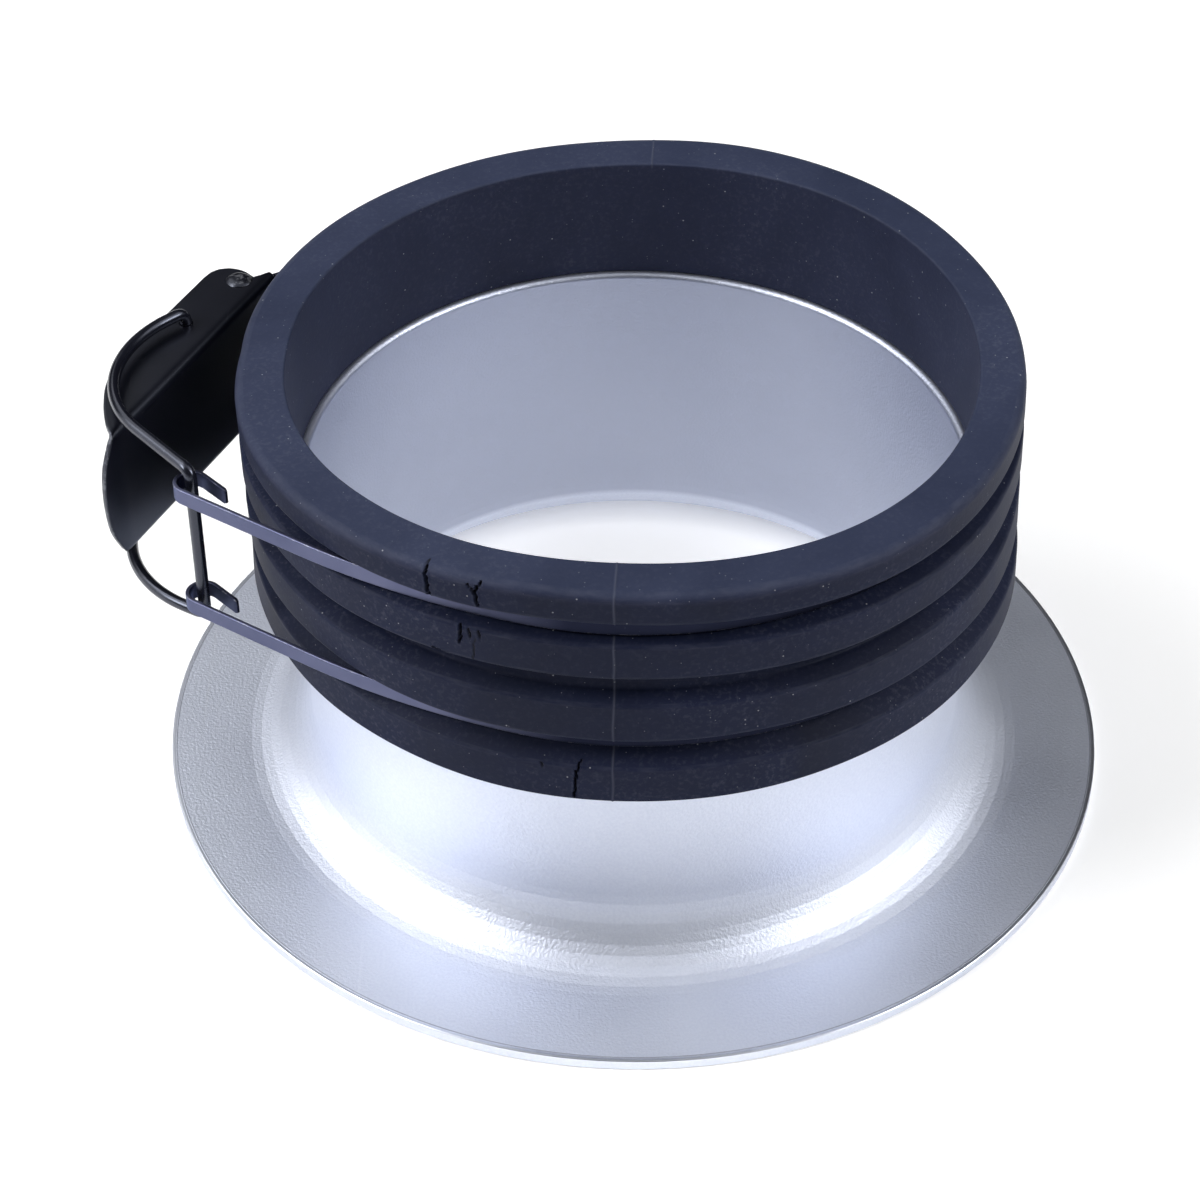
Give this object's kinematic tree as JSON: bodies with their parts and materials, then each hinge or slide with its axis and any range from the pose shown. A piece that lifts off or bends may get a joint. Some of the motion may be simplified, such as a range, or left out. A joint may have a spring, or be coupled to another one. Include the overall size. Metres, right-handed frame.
{
  "type": "flared mounting ring with toggle-latch rubber collar",
  "caption": "Flared metal mounting ring with a ribbed rubber collar on its neck, clamped by banded straps and a sheet-metal toggle lever with a wire bail.",
  "frame": {"origin": "on the ring's axis at the underside of the flange", "axes": "+Z along the axis from the flange to the collar's mouth; the latch stands on the -X side"},
  "size_m": [0.15, 0.1462, 0.0729],
  "materials": {
    "blasted_aluminium": "bead-blasted satin",
    "black_rubber": "matte",
    "black_steel": "satin black",
    "black_paint": "semi-gloss black"
  },
  "bodies": {
    "ring": {"flared_ring": "blasted_aluminium", "rubber_collar": "black_rubber", "upper_band": "black_steel", "lower_band": "black_steel"},
    "hook_strips": {"upper_hook_strip": "black_steel", "lower_hook_strip": "black_steel"},
    "lever": {"latch_lever": "black_paint", "hinge_pin": "black_steel"},
    "bail": {"latch_bail": "black_steel"}
  },
  "joints": [
    {"name": "lever_swing", "type": "hinge", "parent": "ring", "child": "lever", "pos_m": [-0.06001, 0.02468, 0.0567], "axis": [0, 0, 1], "range_deg": [-175, 0]},
    {"name": "bail_swing", "type": "hinge", "parent": "lever", "child": "bail", "pos_m": [-0.06686, 0.01346, 0.0567], "axis": [0, 0, 1], "range_deg": [0, 161.7]},
    {"name": "band_flex", "type": "hinge", "parent": "ring", "child": "hook_strips", "pos_m": [-0.01425, -0.021, 0.0567], "axis": [0, 0, 1], "range_deg": [-28, 0], "deforming": ["upper_hook_strip", "lower_hook_strip"]}
  ],
  "couplings": [
    {"joint": "bail_swing", "follows": "lever_swing", "ratio": -0.92393},
    {"joint": "band_flex", "follows": "lever_swing", "ratio": 0.16}
  ]
}
